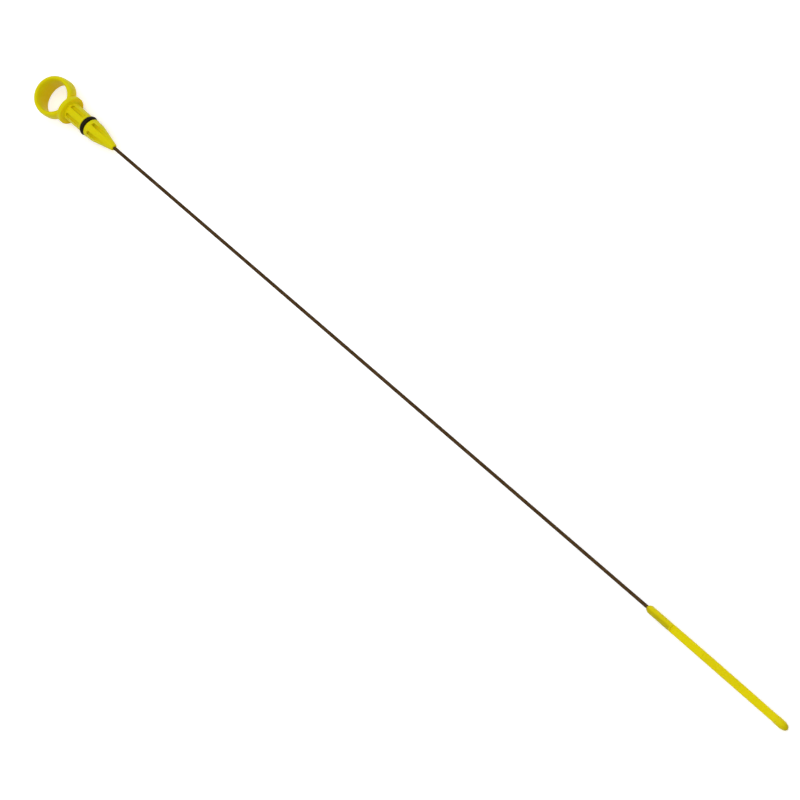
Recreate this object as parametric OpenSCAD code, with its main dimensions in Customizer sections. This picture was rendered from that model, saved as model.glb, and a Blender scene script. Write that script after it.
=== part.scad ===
// Engine oil dipstick: a moulded finger-ring handle with a rubber seal, a spring-steel rod and a
// moulded level tip. It lies along X, the way it is pushed into its guide tube, with the finger
// ring flat in the XY plane. The origin is on the rod's axis, in the flange face that seats on the
// mouth of the guide tube, because the oil levels are measured from that face.

/* [Overall] */
// Reach into the engine, from the seating face to the end of the tip
reach = 669.4; // [350:0.1:1000]

/* [Finger ring] */
// Outer diameter at the crown of the ring
ring_d = 25.9; // [24.8:0.1:27]
// Diameter of the finger hole at its narrowest
ring_hole_d = 19; // [15:0.1:20]
// Width of the ring at the finger, along the axis of its hole
ring_w = 15; // [10:0.1:17]
// Width of the ring where it joins the flange
ring_foot_w = 7; // [6:0.1:10]
// Bluntness of the ring's section: 2 is an ellipse, and more makes its rims broader
ring_blunt = 2.8; // [2:0.1:4]
// Distance from the seating face back to the centre of the ring
ring_back = 16; // [15.2:0.1:16.2]
// Thickness of the web that fills the corners between the ring and the flange
foot_t = 5.4; // [4:0.1:5.6]
// Radius of those corners
foot_round = 1.4; // [1:0.1:1.6]

/* [Flange] */
// Diameter of the flange that stops at the tube's mouth
flange_d = 18.2; // [16.5:0.1:26]
// Thickness of the flange
flange_t = 3.1; // [2.6:0.1:3.4]
// Rounding of the rim on the ring's side
rim_round = 0.4; // [0.2:0.05:1]
// Rounding of the rim on the seating side
seat_round = 0.6; // [0.3:0.05:1.1]

/* [Shank] */
// Diameter of the shank at the flange, where it fills the tube's mouth
shank_d = 11.6; // [10.6:0.1:12.2]
// How much smaller the shank is at the seal groove, so that it starts easily
shank_draft = 0.4; // [0:0.05:0.6]
// Length of shank between the seating face and the seal groove
shank_l = 15.6; // [12:0.1:24]
// Solid collar left at each end of the shank's pockets
collar_l = 1.5; // [1:0.1:3.6]

/* [Seal] */
// Thickness of the sealing ring's rubber
seal_cord_d = 3; // [2.4:0.05:3.4]
// Outer diameter of the sealing ring when fitted
seal_d = 13; // [12.6:0.05:14]
// Width of the groove beyond the thickness of the rubber
groove_play = 0.7; // [0.2:0.05:1.2]
// Gap between the floor of the groove and the rubber
seal_gap = 0.03; // [0.01:0.01:0.1]

/* [Plug] */
// Diameter of the rounded lip that holds the seal in
lip_d = 12.1; // [11.9:0.05:12.5]
// Thickness of that lip
lip_t = 2.3; // [1.6:0.1:3]
// Diameter of the plug just past the lip
plug_d = 11.6; // [10.4:0.1:11.8]
// Length of the plug from the lip to its blunt end
plug_l = 22; // [19:0.1:34]
// Straight stretch of the plug before its taper
plug_straight = 4.3; // [2.2:0.1:6]
// Diameter of the taper where the blunt end starts to round
plug_end_d = 4.6; // [4.4:0.1:6]
// Rounding of the blunt end
plug_end_round = 1.2; // [0.4:0.1:1.2]

/* [Pockets] */
// Width of the middle rib that holds the rod
rib_w = 3.9; // [3.5:0.1:4.6]
// Width of each cored pocket
pocket_w = 1.9; // [1.4:0.1:2.2]
// Thickness of the web left between the shank's pockets above and below
shank_web_t = 7.2; // [1.4:0.1:7.6]
// Thickness of the web left between the plug's pockets above and below
plug_web_t = 5.4; // [1.4:0.1:5.8]
// Wall left outside the plug's pockets as it tapers
plug_wall = 1.1; // [0.8:0.05:1.5]
// Width to which the plug's pockets narrow at their far end
pocket_end_w = 0.4; // [0.2:0.1:1]
// Solid left between the lip and the plug's pockets
lip_back = 1.1; // [0.6:0.1:2]

/* [Rod] */
// Diameter of the rod
rod_d = 2.1; // [1.8:0.05:2.3]
// Start of the rod inside the shank, from the seating face
rod_start = 4; // [3:0.1:8]
// Length of the flattened end that keys the rod into a moulding
key_l = 5; // [3:0.1:8]
// Thickness of the flattened end
key_t = 1.4; // [1.2:0.05:1.7]
// Gap between the rod and the plastic moulded round it
mould_gap = 0.01; // [0.01:0.01:0.05]

/* [Level tip] */
// Length of the level tip
tip_l = 120.4; // [105:0.1:180]
// Diameter of the sleeve and width of the blade
tip_d = 4.75; // [4.5:0.05:5.5]
// Length of the sleeve that the rod is moulded into
sleeve_l = 20.7; // [17:0.1:26]
// Plastic left closed over the rod's end, between the sleeve's bore and the blade
rod_cover_l = 2.5; // [1.5:0.1:5]
// Length of the taper where the rod enters the sleeve
sleeve_taper = 2.1; // [1:0.1:4]
// Diameter of the sleeve's small end
sleeve_end_d = 3.4; // [2.8:0.1:4]
// Thickness of the flat blade
blade_t = 1.9; // [1.5:0.1:2.6]
// Diameter of the rounded nose
nose_d = 5.1; // [4.8:0.05:6.5]
// Length of the nose beyond the blade
nose_l = 11.2; // [10:0.1:16]
// Length over which the nose widens from the blade's width to its own
nose_flare_l = 3; // [1:0.1:4]
// Length of the dome that ends the nose
dome_l = 5.2; // [2:0.1:6]
// Radius of the hollow that runs out from the blade into the nose
runout_r = 5; // [3:0.5:6]
// Distance from the end of the tip to the upper level mark
mark_upper = 72; // [60:0.5:82]
// Distance from the end of the tip to the lower level mark
mark_lower = 40.5; // [20:0.5:55]
// Width of a level mark
mark_w = 1; // [0.5:0.1:1.6]
// Depth of a level mark
mark_depth = 0.2; // [0.1:0.05:0.3]

/* [Hidden] */
$fn = 96;
// Reach of a cutting shape past the solid that it cuts
over = 1;
yellow = [0.90, 0.80, 0.02];

ring_r = ring_d / 2;
ring_wall = (ring_d - ring_hole_d) / 2;
// Steps round the ring, and round its section
ring_turns = 80;
ring_ways = 24;
shank_r = shank_d / 2;

groove_w = seal_cord_d + groove_play;
groove_r = seal_d / 2 - seal_cord_d - seal_gap;
lip_x = shank_l + groove_w;
plug_x = lip_x + lip_t;
taper_x = plug_x + plug_straight;
plug_end_x = plug_x + plug_l;
round_x = plug_end_x - plug_end_round;
// Loss of radius for each millimetre along the taper
taper_slope = (plug_d - plug_end_d) / 2 / (round_x - taper_x);
// Half the length over which the straight stretch bends into the taper
bend_l = 1.6;

pocket_corner = 0.5;
rod_r = rod_d / 2;
tip_x = reach - tip_l;
blade_x = tip_x + sleeve_l;
nose_x = reach - nose_l;
rod_end = blade_x - rod_cover_l;
// Pressing the round rod flat keeps its section's area
key_w = PI * rod_r * rod_r / key_t;

// Points on an arc about [cx, cy], from one angle to another
function arc(cx, cy, rx, ry, from, to, steps) =
    [for (i = [0 : steps]) let (a = from + (to - from) * i / steps) [cx + rx * cos(a), cy + ry * sin(a)]];

// Points on the curve that leaves a towards b and arrives at c from b
function bend(a, b, c, steps) =
    [for (i = [0 : steps]) let (t = i / steps) (1 - t) * (1 - t) * a + 2 * t * (1 - t) * b + t * t * c];

// A round solid along X, from a flat outline that gives [radius, place along the stick]
module turned() {
    rotate([0, 90, 0])
        rotate_extrude()
            children();
}

// A plain step of such an outline, from one place to another
module step_outline(x0, x1, r) {
    translate([0, x0])
        square([r, x1 - x0]);
}

// Half the ring's width at a turn about its hole: narrow at the flange, wide at the finger
function ring_half_w(turn) = (ring_w + ring_foot_w - (ring_w - ring_foot_w) * cos(turn)) / 4;

// A share of the section's half thickness or half width, from -1 to 1, that follows its bluntness
function blunted(share) = sign(share) * pow(abs(share), 2 / ring_blunt);

// A point of the ring's skin, on the blunt ellipse that is its section there
function ring_point(turn, way) =
    let (r = ring_r - ring_wall / 2 + ring_wall / 2 * blunted(cos(way)))
        [r * cos(turn), r * sin(turn), ring_half_w(turn) * blunted(sin(way))];

// The place of such a point in the list that goes round every section in its turn
function ring_index(i, j) = (i % ring_turns) * ring_ways + j % ring_ways;

// The finger ring, lofted round its hole so that its width changes while both sides stay crowned
module finger_ring() {
    translate([-ring_back, 0, 0])
        polyhedron(
            points = [
                for (i = [0 : ring_turns - 1])
                    for (j = [0 : ring_ways - 1])
                        ring_point(360 * i / ring_turns, 360 * j / ring_ways)
            ],
            faces = [
                for (i = [0 : ring_turns - 1])
                    for (j = [0 : ring_ways - 1])
                        [
                            ring_index(i, j),
                            ring_index(i, j + 1),
                            ring_index(i + 1, j + 1),
                            ring_index(i + 1, j)
                        ]
            ]
        );
}

// The web that fills the corners between the round of the ring and the flat of the flange
module ring_foot() {
    corner_x = -flange_t - foot_round;
    corner_y = sqrt(pow(ring_r + foot_round, 2) - pow(ring_back + corner_x, 2));
    linear_extrude(foot_t, center = true)
        difference() {
            polygon([
                [-ring_back + ring_r - ring_wall / 2, 0],
                [corner_x, corner_y],
                [-flange_t / 2, corner_y],
                [-flange_t / 2, -corner_y],
                [corner_x, -corner_y]
            ]);
            for (side = [-1, 1])
                translate([corner_x, side * corner_y])
                    circle(r = foot_round, $fn = 64);
        }
}

module flange() {
    turned() {
        step_outline(-flange_t, -seat_round, flange_d / 2 - rim_round);
        step_outline(-flange_t + rim_round, -seat_round, flange_d / 2);
        step_outline(-flange_t, 0, flange_d / 2 - seat_round);
        translate([flange_d / 2 - rim_round, -flange_t + rim_round])
            circle(r = rim_round, $fn = 48);
        translate([flange_d / 2 - seat_round, -seat_round])
            circle(r = seat_round, $fn = 48);
    }
}

// Shank, seal groove and rounded lip
module shank() {
    turned() {
        polygon([
            [0, -flange_t / 2],
            [shank_r, -flange_t / 2],
            [shank_r, collar_l],
            [shank_r - shank_draft / 2, shank_l],
            [0, shank_l]
        ]);
        step_outline(shank_l - over, plug_x + over, groove_r);
        step_outline(lip_x, plug_x, lip_d / 2 - lip_t / 2);
        translate([lip_d / 2 - lip_t / 2, lip_x + lip_t / 2])
            circle(d = lip_t, $fn = 64);
    }
}

// The tapered plug with its rounded blunt end
module plug() {
    corner = [plug_d / 2, taper_x];
    turned()
        polygon(concat(
            [[0, plug_x - lip_t / 2], [plug_d / 2, plug_x - lip_t / 2]],
            bend(corner - [0, bend_l], corner, corner + bend_l * [-taper_slope, 1], 6),
            arc(plug_end_d / 2 - plug_end_round, round_x, plug_end_round, plug_end_round, 0, 90, 8),
            [[0, plug_end_x]]
        ));
}

// A rectangle with rounded corners
module rounded_slot(l, w) {
    translate([pocket_corner, 0])
        square([l - 2 * pocket_corner, w]);
    translate([0, pocket_corner])
        square([l, w - 2 * pocket_corner]);
    for (x = [pocket_corner, l - pocket_corner])
        for (y = [pocket_corner, w - pocket_corner])
            translate([x, y])
                circle(r = pocket_corner, $fn = 32);
}

// One pocket of the shank, cored out from above
module shank_pocket() {
    translate([collar_l, rib_w / 2, shank_web_t / 2])
        linear_extrude(shank_d)
            rounded_slot(shank_l - 2 * collar_l, pocket_w);
}

// One pocket of the plug: its outer side follows the taper, so the wall stays even
module plug_pocket() {
    start_x = plug_x + lip_back;
    inner_y = rib_w / 2;
    outer_y = inner_y + pocket_w;
    end_y = inner_y + pocket_end_w;
    wall_y = plug_d / 2 - plug_wall;
    translate([0, 0, plug_web_t / 2])
        linear_extrude(plug_d)
            intersection() {
                translate([start_x, inner_y])
                    rounded_slot(plug_l, pocket_w);
                polygon([
                    [start_x - over, 0],
                    [start_x - over, outer_y + over],
                    [taper_x + (wall_y - outer_y - over) / taper_slope, outer_y + over],
                    [taper_x + (wall_y - end_y) / taper_slope, end_y],
                    [taper_x + (wall_y - end_y) / taper_slope, 0]
                ]);
            }
}

// A cut repeated on both sides of the rib and on both faces of the web
module four_ways() {
    for (y = [0, 1])
        for (z = [0, 1])
            mirror([0, y, 0])
                mirror([0, 0, z])
                    children();
}

// The rod with a flattened key at each end; grown by a gap it is the hole left in the mouldings
module rod_form(gap) {
    turned()
        step_outline(rod_start + key_l / 2, rod_end - key_l / 2, rod_r + gap);
    for (x = [rod_start + key_l / 2, rod_end - key_l / 2])
        translate([x, 0, 0])
            cube([key_l + 2 * gap, key_w + 2 * gap, key_t + 2 * gap], center = true);
}

module handle() {
    color(yellow)
        difference() {
            union() {
                finger_ring();
                ring_foot();
                flange();
                shank();
                plug();
            }
            four_ways() {
                shank_pocket();
                plug_pocket();
            }
            rod_form(mould_gap);
        }
}

module o_ring() {
    color([0.05, 0.05, 0.05])
        translate([shank_l + groove_w / 2, 0, 0])
            rotate([0, 90, 0])
                rotate_extrude()
                    translate([seal_d / 2 - seal_cord_d / 2, 0])
                        circle(d = seal_cord_d, $fn = 64);
}

module rod() {
    color([0.36, 0.27, 0.17])
        rod_form(0);
}

// Sleeve, blade and nose before the flats are cut
module tip_blank() {
    tip_r = tip_d / 2;
    nose_r = nose_d / 2;
    turned()
        polygon(concat(
            [[0, tip_x], [sleeve_end_d / 2, tip_x], [tip_r, tip_x + sleeve_taper]],
            [[tip_r, nose_x], [nose_r, nose_x + nose_flare_l]],
            arc(0, reach - dome_l, nose_r, dome_l, 0, 90, 12)
        ));
}

// One of the two flats, square at the sleeve and run out in a hollow at the nose
module blade_flat() {
    translate([blade_x, -nose_d, blade_t / 2])
        cube([nose_x - blade_x, 2 * nose_d, nose_d]);
    translate([nose_x, 0, blade_t / 2 + runout_r])
        rotate([90, 0, 0])
            cylinder(r = runout_r, h = 2 * nose_d, center = true);
}

// A shallow groove right across the blade
module level_mark(from_end) {
    translate([reach - from_end - mark_w / 2, -tip_d, blade_t / 2 - mark_depth])
        cube([mark_w, 2 * tip_d, nose_d]);
}

module level_tip() {
    color(yellow)
        difference() {
            tip_blank();
            for (z = [0, 1])
                mirror([0, 0, z]) {
                    blade_flat();
                    level_mark(mark_upper);
                    level_mark(mark_lower);
                }
            rod_form(mould_gap);
        }
}

handle();
o_ring();
rod();
level_tip();
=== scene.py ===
# %% [markdown]
# # An oil dipstick, dressed for a studio picture
#
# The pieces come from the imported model, in metres: a yellow moulded handle with a finger ring, a
# rubber sealing ring, a long steel rod and a yellow level tip. This lesson gives each of them its
# finish, lays the stick on a pale bench as it comes to rest, and sets up soft light and a camera.
# Everything is measured in the model's own frame: X runs along the stick towards the level tip,
# Y lies across it in the plane of the finger ring, and Z points up through that ring.

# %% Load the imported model
import math

import bmesh
import bpy
import numpy as np
from mathutils import Matrix, Vector


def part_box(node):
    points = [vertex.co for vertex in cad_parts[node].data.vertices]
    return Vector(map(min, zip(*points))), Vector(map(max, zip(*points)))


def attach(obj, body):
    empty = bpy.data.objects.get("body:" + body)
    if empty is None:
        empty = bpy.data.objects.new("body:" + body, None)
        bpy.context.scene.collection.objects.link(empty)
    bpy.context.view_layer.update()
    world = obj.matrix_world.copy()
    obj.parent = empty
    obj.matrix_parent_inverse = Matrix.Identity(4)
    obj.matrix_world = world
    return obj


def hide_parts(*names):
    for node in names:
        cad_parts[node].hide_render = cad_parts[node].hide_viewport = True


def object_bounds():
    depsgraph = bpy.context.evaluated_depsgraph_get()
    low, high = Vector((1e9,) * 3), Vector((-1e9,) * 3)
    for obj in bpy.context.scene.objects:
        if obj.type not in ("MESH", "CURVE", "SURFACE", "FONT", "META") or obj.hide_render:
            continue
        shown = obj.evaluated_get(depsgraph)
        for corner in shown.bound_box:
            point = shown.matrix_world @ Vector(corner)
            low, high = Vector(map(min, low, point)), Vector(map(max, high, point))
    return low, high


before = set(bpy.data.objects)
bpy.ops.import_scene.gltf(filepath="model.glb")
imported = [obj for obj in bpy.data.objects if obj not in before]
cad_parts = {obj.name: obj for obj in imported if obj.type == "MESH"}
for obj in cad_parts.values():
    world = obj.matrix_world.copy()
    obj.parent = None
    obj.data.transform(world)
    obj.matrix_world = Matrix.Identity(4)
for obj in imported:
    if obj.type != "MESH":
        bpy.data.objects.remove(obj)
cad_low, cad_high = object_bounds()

to_mm = 1000
print("pieces:", sorted(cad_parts))
print("size in mm:", [round(to_mm * side, 1) for side in cad_high - cad_low])

# %% [markdown]
# ## Small helpers for shaders
#
# A procedural finish is a sum: some noise, plus a little dirt, times a mask. Wiring such a sum by
# hand takes a node for every sign, and soon nobody can read it. So a small class stands for one
# socket, and its plus, minus, times and divide signs add the Math nodes. A finish is then written
# as an ordinary expression. Colours are mixed and vectors are added with their own nodes, because
# a Math node would turn a colour grey.

# %% A socket that can be used in sums
class Wire:
    """One output socket of a finish. Signs between wires and numbers add Math nodes."""

    def __init__(self, finish, socket):
        self.finish = finish
        self.socket = socket

    def math(self, operation, *values):
        inputs = dict(enumerate(values))
        return self.finish.add("ShaderNodeMath", {"operation": operation}, inputs)

    def __add__(self, other):
        return self.math("ADD", self, other)

    def __radd__(self, other):
        return self.math("ADD", other, self)

    def __sub__(self, other):
        return self.math("SUBTRACT", self, other)

    def __rsub__(self, other):
        return self.math("SUBTRACT", other, self)

    def __mul__(self, other):
        return self.math("MULTIPLY", self, other)

    def __rmul__(self, other):
        return self.math("MULTIPLY", other, self)

    def __truediv__(self, other):
        return self.math("DIVIDE", self, other)

    def __rtruediv__(self, other):
        return self.math("DIVIDE", other, self)

    def __pow__(self, other):
        return self.math("POWER", self, other)

    def __rpow__(self, other):
        return self.math("POWER", other, self)

    def size(self):
        return self.math("ABSOLUTE", self)

    def at_least(self, other):
        return self.math("MAXIMUM", self, other)

    def at_most(self, other):
        return self.math("MINIMUM", self, other)

    def zigzag(self, pitch):
        """0 on every line that lies a pitch from the last, and 1 half-way between two lines."""
        return self.math("PINGPONG", self / pitch, 0.5) * 2

    def ramp(self, start, end):
        """0 below start and 1 above end, with a soft step between them."""
        settings = {"interpolation_type": "SMOOTHSTEP"}
        inputs = {"Value": self, "From Min": start, "From Max": end}
        return self.finish.add("ShaderNodeMapRange", settings, inputs)


# %% [markdown]
# A finish is one material. Its method `add` makes any node: first the node's own settings, then
# the values or wires of its sockets. The surface itself is a Principled shader, which suits
# plastic, rubber and metal alike.

# %% A material that is built node by node
class Finish:
    """A material with a Principled surface, and the nodes that feed it."""

    def __init__(self, name):
        self.material = bpy.data.materials.new(name)
        self.material.use_nodes = True
        self.nodes = self.material.node_tree.nodes
        self.links = self.material.node_tree.links
        self.surface = self.nodes["Principled BSDF"]

    @classmethod
    def of_world(cls, world):
        """The same tools for the sky, whose surface is its Background."""
        sky = cls.__new__(cls)
        sky.nodes = world.node_tree.nodes
        sky.links = world.node_tree.links
        sky.surface = sky.nodes["Background"]
        return sky

    def connect(self, socket, value):
        if isinstance(value, Wire):
            self.links.new(value.socket, socket)
        else:
            socket.default_value = value

    def add(self, kind, settings=None, inputs=None, output=0):
        node = self.nodes.new(kind)
        for name, value in (settings or {}).items():
            setattr(node, name, value)
        for name, value in (inputs or {}).items():
            self.connect(node.inputs[name], value)
        return Wire(self, node.outputs[output])

    def mix(self, factor, first, second):
        """Blends two colours, from the first at 0 to the second at 1."""
        settings = {"data_type": "RGBA"}
        return self.add("ShaderNodeMix", settings, {0: factor, 6: first, 7: second}, output=2)

    def parts(self, vector):
        """The three numbers of a vector."""
        node = self.add("ShaderNodeSeparateXYZ", inputs={0: vector}).socket.node
        return [Wire(self, node.outputs[axis]) for axis in "XYZ"]

    def place(self):
        """The place on the object, in metres, one wire for each axis."""
        self.position = self.add("ShaderNodeTexCoord", output="Object")
        return self.parts(self.position)

    def stretched(self, along, across, up):
        """The place, scaled by a factor for each axis."""
        settings = {"operation": "MULTIPLY"}
        inputs = {0: self.position, 1: (along, across, up)}
        return self.add("ShaderNodeVectorMath", settings, inputs)

    def rays(self, *kinds):
        """1 for light paths of the named kinds, such as those that the camera sees."""
        node = self.add("ShaderNodeLightPath").socket.node
        mask = Wire(self, node.outputs[kinds[0]])
        for kind in kinds[1:]:
            mask = mask.at_least(Wire(self, node.outputs[kind]))
        return mask

    def noise(self, scale, detail=2.0, place=None):
        """Cloudy values round 0.5; scale is in cycles for each metre."""
        inputs = {"Vector": place or self.position, "Scale": scale, "Detail": detail}
        return self.add("ShaderNodeTexNoise", {}, inputs)

    def bump(self, height, distance, strength=1.0, under=None):
        """Relief of so many metres where height is 1, laid over the relief under it."""
        inputs = {"Height": height, "Distance": distance, "Strength": strength}
        if under is not None:
            inputs["Normal"] = under
        return self.add("ShaderNodeBump", {}, inputs)

    def set(self, inputs):
        """Sets sockets of the surface, by the names that Blender shows."""
        for name, value in inputs.items():
            self.connect(self.surface.inputs[name], value)


# %% [markdown]
# ## The camera
#
# The photograph was taken from far away, from the side of the level tip and above. A long lens
# from nearly four metres gives that flat perspective: the stick narrows by only a tenth from its
# near end to its far end. The camera is placed by angles about a point on the stick, and then
# turned about its own line of sight so that the stick runs diagonally across the picture.

# %% Place the camera
sight_target = Vector((0.32625, -0.00266, 0.00031))
sight_distance = 3.8318
sight_azimuth = math.radians(99.18)
sight_elevation = math.radians(54.27)
camera_twist = math.radians(-60.5)
sensor_width = 36.0
lens = 296.55

towards_camera = Vector((
    math.sin(sight_azimuth) * math.cos(sight_elevation),
    -math.cos(sight_azimuth) * math.cos(sight_elevation),
    math.sin(sight_elevation),
))
camera_data = bpy.data.cameras.new("camera")
camera_data.sensor_width = sensor_width
camera_data.lens = lens
camera_data.clip_end = 50.0
camera = bpy.data.objects.new("camera", camera_data)
bpy.context.scene.collection.objects.link(camera)
camera.rotation_mode = "QUATERNION"
level_view = (-towards_camera).to_track_quat("-Z", "Y")
camera.rotation_quaternion = level_view @ Matrix.Rotation(camera_twist, 3, "Z").to_quaternion()
camera.location = sight_target + sight_distance * towards_camera
bpy.context.scene.camera = camera
print("camera at", [round(value, 3) for value in camera.location])

# %% [markdown]
# ## The bench
#
# A dipstick has no feet. Put down on a bench, it lies on two points: the rim of its flange and the
# rounded nose of its tip. The flange is thicker, so the stick slopes down towards the tip by about
# half a degree. The model keeps its own frame, so here the bench is tilted to meet the stick.

# %% Find where the stick touches the bench
flange_points = np.array([v.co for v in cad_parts["handle"].data.vertices])
tip_points = np.array([v.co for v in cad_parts["level_tip"].data.vertices])
flange_low = flange_points[flange_points[:, 2].argmin()]
tip_low = tip_points[tip_points[:, 2].argmin()]
bench_slope = (tip_low[2] - flange_low[2]) / (tip_low[0] - flange_low[0])
tip_end = tip_points[:, 0].max()
print("bench slopes by", round(math.degrees(math.atan(bench_slope)), 2), "degrees")


def bench_height(x):
    """Height of the bench under a point of the stick's axis."""
    return flange_low[2] + bench_slope * (x - flange_low[0])


# %% Lay the bench
bench_half = 4.0
stick_middle = (cad_low.x + cad_high.x) / 2
corner_signs = ((-1, -1), (1, -1), (1, 1), (-1, 1))
corners = []
for along_sign, across_sign in corner_signs:
    x = stick_middle + along_sign * bench_half
    corners.append((x, across_sign * bench_half, bench_height(x)))
bench_mesh = bpy.data.meshes.new("bench")
bench_mesh.from_pydata(corners, [], [(0, 1, 2, 3)])
bench = bpy.data.objects.new("bench", bench_mesh)
bpy.context.scene.collection.objects.link(bench)
print("the stick's axis starts", round(-to_mm * bench_height(0.0), 2), "mm above the bench")

# %% [markdown]
# The bench is pale. To the camera and in reflections it is a little brighter than to the light
# that bounces about, and it glows there by about a quarter of white. So the background stays
# white, while the plastic keeps its own shadows and the bench keeps a soft shadow of the stick.

# %% Paint the bench
bench_seen = 0.97
bench_bounce = 0.70
bench_glow = 0.27
bench_roughness = 0.9


def grey(level):
    """A colour without a tint."""
    return (level, level, level, 1.0)


bench_finish = Finish("pale_bench")
seen = bench_finish.rays("Is Camera Ray", "Is Glossy Ray", "Is Transmission Ray")
bench_finish.set({
    "Base Color": bench_finish.mix(seen, grey(bench_bounce), grey(bench_seen)),
    "Roughness": bench_roughness,
    "Specular IOR Level": 0.0,
    "Emission Color": bench_finish.mix(seen, grey(0.0), grey(bench_glow)),
    "Emission Strength": 1.0,
})
bench.data.materials.append(bench_finish.material)

# %% [markdown]
# ## The light
#
# Soft studio light: a wide sun for the direction, and a sky that fills the shadows. Together they
# give an upward face about as much light as paper needs to look like paper, so a colour renders
# about as it is written. The sun stands high near the camera, and a little on the side of the
# stick that is up and to the right in the photograph, where the flanks are slightly brighter. The
# sky is brighter overhead than at its rim, as under a soft box, and that gives round forms their
# slightly darker sides.

# %% Set up the sun
sun_level = 0.85
sun_spread = math.radians(60)
towards_sun = Vector((0.32, 0.18, 0.92)).normalized()

sun_data = bpy.data.lights.new("sun", "SUN")
sun_data.energy = sun_level
sun_data.angle = sun_spread
sun = bpy.data.objects.new("sun", sun_data)
bpy.context.scene.collection.objects.link(sun)
sun.rotation_mode = "QUATERNION"
sun.rotation_quaternion = towards_sun.to_track_quat("Z", "Y")

# %% [markdown]
# What the camera sees of the sky is plain white, and so is what shows through glass, though there
# is none here. All other light paths get the soft gradient.

# %% Set up the sky
sky_rim = 0.55
sky_overhead = 0.92

world = bpy.data.worlds.new("studio")
world.use_nodes = True
bpy.context.scene.world = world
studio = Finish.of_world(world)
direction = studio.add("ShaderNodeTexCoord", output="Generated")
height = studio.parts(direction)[2]
level = height.at_least(0.0) * (sky_overhead - sky_rim) + sky_rim
seen = studio.rays("Is Camera Ray", "Is Transmission Ray")
studio.set({"Color": grey(1.0), "Strength": seen + (1 - seen) * level})

bpy.context.scene.view_settings.view_transform = "Standard"

# %% [markdown]
# ## Yellow moulded nylon
#
# Handle and level tip are injection mouldings in a strong, slightly greenish yellow. The colour is
# even, because it goes right through, and so the finish has to come from small things: a fine
# spark-eroded grain, faint flow marks from the filling of the mould, edges rubbed smooth, scuffs,
# and old oil and dirt where nobody wipes. To these come painted shade in corners, in pockets and
# on the tip, and a painted warm bounce light in hollows. First come the colours, as linear red,
# green, blue and a 1 for opaque, and the sizes and places, in metres from the model's origin.

# %% Name the nylon's colours
handle_deep = (0.61, 0.550, 0.001, 1.0)
handle_light = (0.67, 0.605, 0.002, 1.0)
tip_deep = (0.67, 0.575, 0.001, 1.0)
tip_light = (0.73, 0.630, 0.002, 1.0)
# Painted bounce light: the warmer yellow that hollows are mixed towards.
bounce_light_yellow = (0.81, 0.59, 0.0, 1.0)
scuff_yellow = (0.80, 0.74, 0.10, 1.0)
# Painted shade and dirt: the brown that corners and the shank's pockets are darkened towards.
dirt_and_shade_brown = (0.40, 0.27, 0.001, 1.0)
# Old oil and painted shade: the brown in the grooves of the hatching.
groove_oil_and_shade_brown = (0.48, 0.35, 0.001, 1.0)
# Painted shade: the brown that darkens the tip's nose, end face and sleeve.
painted_shade_brown = (0.40, 0.335, 0.001, 1.0)

# %% Name the sizes and places
edge_radius = 0.00022
corner_reach = 0.002
hollow_reach = 0.017
parting_half = 0.00012
parting_height = 0.00008
flow_depth = 0.00004
grain_depth = 0.00004
# Where the painted shade and dirt in the shank's pockets starts, is full, starts to fade and ends.
shank_clean = 0.0005
shank_dirt_and_shade = 0.003
shank_fading = 0.006
shank_end = 0.0165
plug_start = 0.0195
plug_oiled = 0.0215
bow = 0.0008
bow_start = tip_end - 0.094
sleeve_end = tip_end - 0.0997
sleeve_fading = sleeve_end - 0.0008
mark_upper = tip_end - 0.0714
mark_lower = tip_end - 0.0411
nose_start = tip_end - 0.011
nose_full = tip_end - 0.0005
end_face_start = tip_end - 0.004
end_face_full = tip_end - 0.0025
hatch_middle = (mark_upper + mark_lower) / 2
hatch_pitch = 0.00128
hatch_reach = 11.5 * hatch_pitch
hatch_side = 1.5 * hatch_pitch
print("hatched from", round(to_mm * (hatch_middle - hatch_reach), 1), "to",
      round(to_mm * (hatch_middle + hatch_reach), 1), "mm")

# %% [markdown]
# Wear, dirt and painted shade need to know where edges and corners are. The Bevel node gives the
# normal that the surface would have if its edges were rounded, and where it leaves the true normal
# there is an edge. Ambient occlusion tells how open a place is. Within two millimetres it finds
# corners and pockets, and within seventeen the inside of the ring, where most light comes from
# other plastic.

# %% Find edges, corners and hollows
def openness(finish, reach):
    """1 on open surfaces, and less the more is in the way within reach."""
    return finish.add("ShaderNodeAmbientOcclusion", {"samples": 8}, {"Distance": reach}, "AO")


def true_normal(finish):
    return finish.add("ShaderNodeNewGeometry", output="Normal")


def rounded_edges(finish):
    """The normal with rounded edges, and a mask that is 1 on an edge."""
    rounded = finish.add("ShaderNodeBevel", {"samples": 6}, {"Radius": edge_radius})
    compare = {"operation": "DOT_PRODUCT"}
    both = {0: rounded, 1: true_normal(finish)}
    agreement = finish.add("ShaderNodeVectorMath", compare, both, "Value")
    return rounded, (1 - agreement).ramp(0.01, 0.12)


# %% [markdown]
# The level tip spends its life in oil. Old oil stays in the grooves of the hatching between the
# level marks, and the grooves are darkened further by painted shade. A brown painted shade darkens
# the nose, most of all its end face where it turns towards +X, the whole sleeve a little, and one
# side of the sleeve more. The hatching follows the blade's slight bow, which is made further down,
# and so the place across the blade is taken from the bent middle line.

# %% Put old oil and painted shade on the tip
def oil_and_shade_in_grooves(along, across):
    """A mask that is 1 in the grooves of the hatching."""
    bent = ((along - bow_start) / (tip_end - bow_start)).at_least(0.0) ** 2 * bow
    from_middle = along - hatch_middle
    lines = (from_middle + across + bent).zigzag(hatch_pitch)
    lines = lines.at_most((from_middle - across - bent).zigzag(hatch_pitch))
    soft = 0.0001
    inside = 1 - from_middle.size().ramp(hatch_reach - soft, hatch_reach + soft)
    inside = inside * (1 - (across + bent).size().ramp(hatch_side - soft, hatch_side + soft))
    return inside * (1 - lines.ramp(0.05, 0.33))


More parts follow.
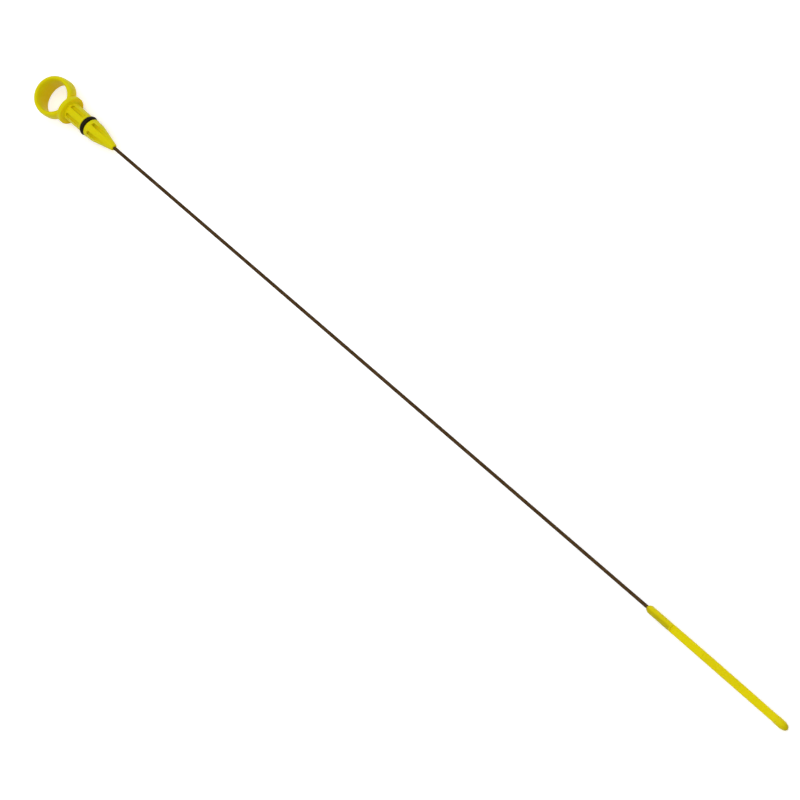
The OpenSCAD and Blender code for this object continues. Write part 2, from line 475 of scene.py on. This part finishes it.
def painted_shade_film(finish, along, across, clouds):
    """How much brown painted shade covers the nose, its end face and the sleeve."""
    nose = along.ramp(nose_start, nose_full)
    facing_on = finish.parts(true_normal(finish))[0].ramp(0.10, 0.70)
    end_face = along.ramp(end_face_start, end_face_full) * facing_on
    sleeve = 1 - along.ramp(sleeve_fading, sleeve_end)
    lower_side = (0 - across).ramp(-0.0010, 0.0005)
    on_sleeve = sleeve * (0.12 + lower_side * (0.45 + clouds * 0.3))
    return nose * 0.30 + end_face * 0.50 + on_sleeve


# %% [markdown]
# The colour is built up in layers. First comes the plastic, with faint flow marks and clouds,
# lighter where it is rubbed. Hollows get a painted warm bounce light, for the light that the
# yellow plastic throws onto itself. Corners get painted shade with a little grime, but not on the
# plug.
# The shank's pockets near the flange, by the mouth of the tube, get more painted shade and dirt.
# Fingers and the tube leave short pale scuffs along the stick. The relief is made of flow marks, a
# hair of a line where the halves of the mould met, and the grain.

# %% Mix the yellow
def yellow_nylon(name, deep, light, oil_and_shade=False):
    finish = Finish(name)
    along, across, up = finish.place()
    rounded, edge = rounded_edges(finish)
    open_near = openness(finish, corner_reach)

    flow = finish.noise(1.0, 3.0, finish.stretched(60.0, 420.0, 420.0))
    clouds = finish.noise(140.0, 3.0)
    tone = (flow - 0.5) * 0.5 + (clouds - 0.5) * 0.35 + edge * 0.25
    colour = finish.mix((tone + 0.5).at_least(0.0).at_most(1.0), deep, light)
    # Painted bounce light: hollows turn a warmer yellow, for the light that the yellow plastic
    # throws onto itself.
    painted_bounce = (1 - openness(finish, hollow_reach)).ramp(0.05, 0.5) * open_near ** 3
    colour = finish.mix(painted_bounce, colour, bounce_light_yellow)

    patchy = 0.5 + clouds.ramp(0.35, 0.7) * 0.5
    in_oil = along.ramp(plug_start, plug_oiled)
    # Painted shade with a little grime: corners are darkened by their ambient occlusion, except on
    # the plug.
    grime_and_shade = (1 - open_near).ramp(0.35, 1.0) * patchy * (1 - in_oil)
    in_shank = along.ramp(shank_clean, shank_dirt_and_shade) * (1 - along.ramp(shank_fading, shank_end))
    # Painted shade and dirt: the shank's pockets near the flange are darkened more.
    dirt_and_shade = (1 - open_near).ramp(0.08, 0.60) * patchy * in_shank
    colour = finish.mix(grime_and_shade * 0.15 + dirt_and_shade * 0.35, colour, dirt_and_shade_brown)

    streaks = finish.noise(1.0, 2.0, finish.stretched(350.0, 1300.0, 2600.0))
    scuffs = streaks.ramp(0.60, 0.68) * clouds.ramp(0.40, 0.60) * open_near
    colour = finish.mix(scuffs * 0.16, colour, scuff_yellow)

    grain = finish.noise(5200.0, 2.0)
    parting = 1 - up.size().ramp(parting_half / 4, parting_half)
    relief = finish.bump(flow, flow_depth, 0.5, rounded)
    relief = finish.bump(parting, parting_height, 0.9, relief)
    relief = finish.bump(grain, grain_depth, 1.0, relief)

    if oil_and_shade:
        # The grooves of the hatching are darkened: old oil and painted shade.
        grooves = oil_and_shade_in_grooves(along, across)
        colour = finish.mix(grooves * 0.25, colour, groove_oil_and_shade_brown)
        # Painted shade in brown on the nose, its end face and the sleeve.
        colour = finish.mix(painted_shade_film(finish, along, across, clouds), colour, painted_shade_brown)

    finish.set({
        "Base Color": colour,
        "Roughness": 0.48 + (grain - 0.5) * 0.2 + scuffs * 0.1 + grime_and_shade * 0.1 - edge * 0.08,
        "IOR": 1.53,
        "Specular IOR Level": 0.12,
        "Specular Tint": (1.0, 0.86, 0.25, 1.0),
        "Subsurface Weight": 0.3,
        "Subsurface Scale": 0.0012,
        "Subsurface Radius": (1.0, 0.6, 0.02),
        "Normal": relief,
    })
    return finish


handle_finish = yellow_nylon("handle_yellow", handle_deep, handle_light)
tip_finish = yellow_nylon("tip_yellow", tip_deep, tip_light, oil_and_shade=True)
for finish in (handle_finish, tip_finish):
    print(finish.material.name, "has", len(finish.nodes), "nodes")

# %% [markdown]
# ## Rubber
#
# The sealing ring is black rubber, nearly matt, with a faint brownish bloom. It was pressed in a
# mould of two halves, and their joint leaves a hair of flash right round its outside, in the plane
# through the middle of the ring. That plane comes from the piece's own box.

# %% Mix the rubber
rubber_black = (0.003, 0.002, 0.001, 1.0)
rubber_bloom = (0.013, 0.009, 0.004, 1.0)
flash_half = 0.00013
flash_core = 0.00003
flash_height = 0.00006
pit_depth = 0.00002
seal_low, seal_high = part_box("o_ring")
seal_middle = (seal_low[0] + seal_high[0]) / 2

rubber = Finish("seal_rubber")
along = rubber.place()[0]
bloom = rubber.noise(900.0, 4.0)
pits = rubber.noise(6000.0, 2.0)
flash = 1 - (along - seal_middle).size().ramp(flash_core, flash_half)
brownish = (bloom + flash * 0.3).ramp(0.35, 0.75)
relief = rubber.bump(flash, flash_height)
rubber.set({
    "Base Color": rubber.mix(brownish, rubber_black, rubber_bloom),
    "Roughness": 0.55 + (bloom - 0.5) * 0.3,
    "Specular IOR Level": 0.12,
    "Specular Tint": (1.0, 0.85, 0.60, 1.0),
    "Normal": rubber.bump(pits, pit_depth, 0.8, relief),
})
print("the seal's flash line lies at x =", round(to_mm * seal_middle, 2), "mm")

# %% [markdown]
# ## Drawn steel wire
#
# The rod is spring steel with a thin brown finish. It was drawn through a die, which leaves fine
# lines along the wire: noise that is stretched two hundredfold along X. Soft patches stand for
# the uneven browning. In the photograph the wire's flanks are darker than its middle. A metal's
# Specular Tint colours what it reflects at a grazing angle, so a dark tint gives such flanks
# from every side.

# %% Mix the steel
steel_dark = (0.061, 0.033, 0.011, 1.0)
steel_light = (0.113, 0.065, 0.026, 1.0)
flank_tint = (0.06, 0.04, 0.03, 1.0)
line_depth = 0.00002

steel = Finish("brown_wire")
steel.place()
lines = steel.noise(1.0, 3.0, steel.stretched(30.0, 7000.0, 7000.0))
patches = steel.noise(260.0, 4.0)
browning = (patches * 0.6 + lines * 0.4).ramp(0.3, 0.7)
steel.set({
    "Base Color": steel.mix(browning, steel_dark, steel_light),
    "Metallic": 1.0,
    "Specular Tint": flank_tint,
    "Roughness": 0.34 + (lines - 0.5) * 0.25,
    "Normal": steel.bump(lines, line_depth, 0.7),
})
print(steel.material.name, "has", len(steel.nodes), "nodes")

# %% [markdown]
# ## The tip's slight bow
#
# A long thin moulding never comes out of its mould quite straight. In the photograph the blade
# bends sideways by less than a millimetre on its way to the nose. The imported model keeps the
# straight drawing, and the piece that is shown is a copy whose points are pushed sideways by a
# distance that grows with the square of the way along the blade. The same copy gives the sleeve
# its blunter start: the circle where the short cone ends moves a little towards the handle.

# %% Bend a copy of the level tip
cone_drawn = 0.0021
cone_shown = 0.0013
same_place = 0.00001


def bend(places):
    """Pushes points sideways, by a distance that grows with the square of the way along."""
    share = np.clip((places[:, 0] - bow_start) / (tip_end - bow_start), 0.0, 1.0)
    places[:, 1] -= bow * share ** 2


bent_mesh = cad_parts["level_tip"].data.copy()
drawn_places = np.array([v.co for v in bent_mesh.vertices])
bent_places = drawn_places.copy()
bend(bent_places)
from_start = drawn_places[:, 0] - drawn_places[:, 0].min()
cone_end = np.abs(from_start - cone_drawn) < same_place
bent_places[cone_end, 0] -= cone_drawn - cone_shown
bent_mesh.vertices.foreach_set("co", bent_places.ravel())
bent_mesh.update()
print("nose moved sideways by", round(to_mm * bow, 2), "mm, cone points moved:", cone_end.sum())

# %% [markdown]
# ## The hatching between the level marks
#
# Between its two level marks the blade is hatched, so that oil clings to it and the level is easy
# to read. The hatching is a lattice of V-shaped grooves on both broad faces. It could be a bump in
# the finish, but real grooves catch the light along their edges and stay in the mesh when the
# model is used elsewhere. So a flat panel is sliced three times for each groove, along its two
# edges and its middle, and the points on the middle lines are lowered. A plain rim joins the
# lattice to the four corners of the blade's face. The panel is drawn in millimetres, because
# Blender's numbers are not fine enough for slicing such small things in metres.

# %% Draw a hatched panel
groove_half = 0.15 * math.sqrt(2)
groove_depth = 0.06
hair = 0.001


def hatched_panel(half_length, half_width):
    """Points and triangles of a hatched face round 0, 0, in mm. Its corners come first."""
    panel = bmesh.new()

    def rectangle(x, y):
        return [panel.verts.new((x * right, y * up, 0)) for right, up in corner_signs]

    pitch, reach, side = (to_mm * size for size in (hatch_pitch, hatch_reach, hatch_side))
    panel.faces.new(rectangle(reach, side))
    last_line = math.ceil((reach + side) / pitch)
    for number in range(-last_line, last_line + 1):
        for shift in (-groove_half, 0, groove_half):
            for slant in (1, -1):
                everything = panel.verts[:] + panel.edges[:] + panel.faces[:]
                line_place = (number * pitch + shift, 0, 0)
                bmesh.ops.bisect_plane(panel, geom=everything, dist=hair / 10,
                                       plane_co=line_place, plane_no=(1, slant, 0))
    for point in panel.verts:
        x, y, _ = point.co
        lines_away = ((x + y) / pitch, (x - y) / pitch)
        on_line = any(abs(away - round(away)) < hair for away in lines_away)
        if on_line and abs(x) < reach - hair and abs(y) < side - hair:
            point.co.z = -groove_depth
    bmesh.ops.triangulate(panel, faces=panel.faces[:], quad_method="LONG_EDGE")

    rim = [edge for edge in panel.edges if edge.is_boundary]
    corners = rectangle(half_length, half_width)
    rim += [panel.edges.new((corners[i - 1], corners[i])) for i in range(4)]
    bmesh.ops.triangle_fill(panel, edges=rim, use_beauty=True, normal=(0, 0, 1))
    bmesh.ops.recalc_face_normals(panel, faces=panel.faces[:])
    points = corners + [point for point in panel.verts if point not in corners]
    number_of = {point: number for number, point in enumerate(points)}
    turn = 1 if panel.faces[0].normal.z > 0 else -1
    triangles = [[number_of[point] for point in face.verts][::turn] for face in panel.faces]
    places = np.array([point.co[:] for point in points])
    panel.free()
    return places, triangles


# %% [markdown]
# The two broad faces are found by what they are: large, flat, and between the marks. The shown
# mesh is then put together anew from all other faces of the bent copy, with their old normals,
# and from the two panels, bent by the same rule.

# %% Find the blade's broad faces
near_mark = 0.0005
shortest_broad = 0.02
flat_enough = 0.9
broad_faces = {1: [], -1: []}
kept_faces = []
for face in bent_mesh.polygons:
    lengthways = drawn_places[list(face.vertices), 0]
    starts_after = lengthways.min() > mark_upper - near_mark
    ends_before = lengthways.max() < mark_lower + near_mark
    large = np.ptp(lengthways) > shortest_broad
    if starts_after and ends_before and large and abs(face.normal.z) > flat_enough:
        broad_faces[1 if face.normal.z > 0 else -1].append(face)
    else:
        kept_faces.append(face)
print("broad faces found:", {side: len(faces) for side, faces in broad_faces.items()})

# %% Put the panels in their place
new_places = [bent_places]
new_faces = []
new_normals = []
for side, faces in broad_faces.items():
    corners = sorted({number for face in faces for number in face.vertices})
    if len(corners) != len(corner_signs):
        kept_faces += faces
        print("side", side, "keeps its plain face")
        continue
    middle = (drawn_places[corners].min(axis=0) + drawn_places[corners].max(axis=0)) / 2
    half = np.ptp(drawn_places[corners], axis=0) / 2
    places, triangles = hatched_panel(to_mm * half[0], to_mm * half[1])
    places = places / to_mm * (1, 1, side) + middle
    outer, inner = places[:len(corners)], places[len(corners):]
    shared = [min(corners, key=lambda number: np.abs(drawn_places[number] - place).sum())
              for place in outer]
    bend(places)
    first_new = sum(len(block) for block in new_places)
    numbers = shared + list(range(first_new, first_new + len(inner)))
    new_places.append(inner)
    for triangle in triangles:
        triangle = triangle[::side]
        first, second, third = (Vector(places[number]) for number in triangle)
        flat = (second - first).cross(third - first).normalized()
        new_faces.append([numbers[number] for number in triangle])
        new_normals += [flat[:]] * 3
    print("side", side, "hatched with", len(triangles), "triangles")

# %% [markdown]
# Flat panels get flat normals. All other corners keep the normals that came with the model, which
# follow the true curved surfaces.

# %% Put the shown tip together
old_normals = [normal.vector[:] for normal in bent_mesh.corner_normals]
faces = [list(face.vertices) for face in kept_faces] + new_faces
normals = [old_normals[corner] for face in kept_faces for corner in face.loop_indices]
normals += new_normals
smooth = [face.use_smooth for face in kept_faces] + [False] * len(new_faces)
tip_mesh = bpy.data.meshes.new("tip_moulding")
tip_mesh.from_pydata(np.concatenate(new_places).tolist(), [], faces)
tip_mesh.polygons.foreach_set("use_smooth", smooth)
tip_mesh.normals_split_custom_set(normals)
tip_mesh.update()
tip_piece = bpy.data.objects.new("tip_moulding", tip_mesh)
bpy.context.scene.collection.objects.link(tip_piece)
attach(tip_piece, "root")
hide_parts("level_tip")
print("the shown tip has", len(faces), "faces")

# %% [markdown]
# ## Dressing the pieces
#
# Handle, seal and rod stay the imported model's own objects, and only get a better material. The
# level tip is shown by its bent and hatched copy.

# %% Dress the pieces
dress = (
    (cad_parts["handle"], handle_finish),
    (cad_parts["o_ring"], rubber),
    (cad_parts["rod"], steel),
    (tip_piece, tip_finish),
)
for piece, finish in dress:
    piece.data.materials.clear()
    piece.data.materials.append(finish.material)
    print(piece.name, "wears", finish.material.name)
